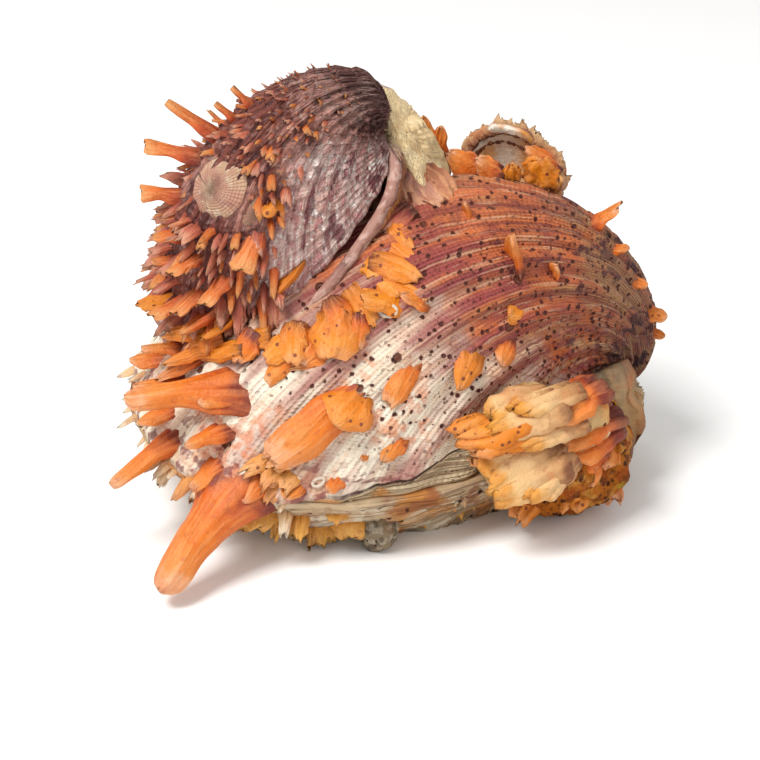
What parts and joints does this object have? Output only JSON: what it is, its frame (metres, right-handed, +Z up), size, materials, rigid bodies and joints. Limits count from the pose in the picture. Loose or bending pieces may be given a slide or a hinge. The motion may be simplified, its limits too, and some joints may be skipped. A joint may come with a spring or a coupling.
{
  "type": "thorny oyster shell",
  "caption": "Natural cluster of ribbed, hollow bivalve shells grown together, with long flat spines, leafy frills and small encrusting growths; rests on a flat scar.",
  "frame": {"origin": "on the flat attachment scar of the large lower valve, where it rests", "axes": "+Z up out of the scar; +X along the large oyster towards its hinge; -Y is the side with the longest spine"},
  "size_m": [0.151, 0.1203, 0.1228],
  "materials": {
    "spined_shell": "matte ribbed shell with orange spines",
    "cream_shell": "matte chalky shell with ochre frills",
    "maroon_shell": "matte scaly shell",
    "rim_shell": "chalky shell with orange frills",
    "broken_shell": "smooth inside, rough outside",
    "lump_shell": "leafy shell plates",
    "crust": "rough pitted crust",
    "grit": "rough grain",
    "spat": "fine ringed young shell",
    "worm": "smooth lime tube"
  },
  "bodies": {
    "root": {"large_upper_valve": "spined_shell", "large_lower_valve": "cream_shell", "small_upper_valve": "maroon_shell", "small_lower_valve": "rim_shell", "broken_valve": "broken_shell", "frilled_lump": "lump_shell", "orange_crust": "crust", "gritty_pebble": "grit", "spat_disc": "spat", "spat_scale": "spat", "worm_tube": "worm", "ring_tube": "worm"}
  },
  "joints": []
}
